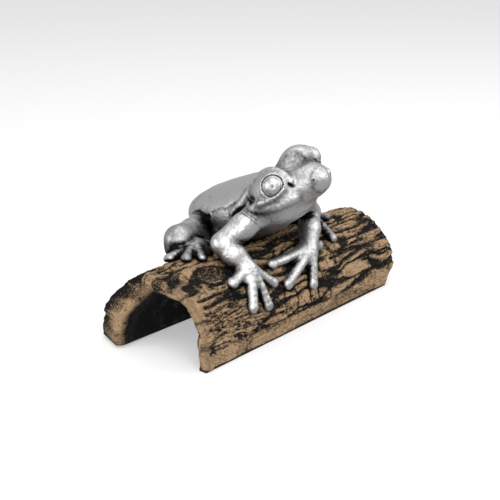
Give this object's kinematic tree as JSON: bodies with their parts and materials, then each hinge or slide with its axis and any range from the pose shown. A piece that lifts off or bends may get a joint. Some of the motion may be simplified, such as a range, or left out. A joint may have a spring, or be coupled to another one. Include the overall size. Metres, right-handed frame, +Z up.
{
  "type": "frog figurine",
  "caption": "Silver tree frog with round toe pads that sits across a hollow half-log of bark-textured resin; a free-standing shelf ornament on felt strips.",
  "frame": {"origin": "middle of the base, on the surface that the felt strips stand on, midway between the outer ends in X and in Y", "axes": "+X along the log towards its narrow end, -Y the side that the frog faces, +Z up"},
  "size_m": [0.158, 0.085, 0.0861],
  "materials": {
    "bark_resin": "cast resin painted tan on the raised bark, with a black wash in the furrows",
    "frog_silver": "satin silver, darkened in the creases",
    "eye_silver": "satin silver bead with a darker pupil",
    "steel": "plain steel fixings",
    "felt": "black felt strip"
  },
  "bodies": {
    "root": {"log_shell": "bark_resin", "frog_torso": "frog_silver", "right_foreleg": "frog_silver", "left_foreleg": "frog_silver", "right_hind_leg": "frog_silver", "left_hind_leg": "frog_silver", "right_eye": "eye_silver", "left_eye": "eye_silver", "foot_pins": "steel", "belly_washer": "steel", "belly_screw": "steel", "near_felt_strip": "felt", "far_felt_strip": "felt"}
  },
  "joints": []
}
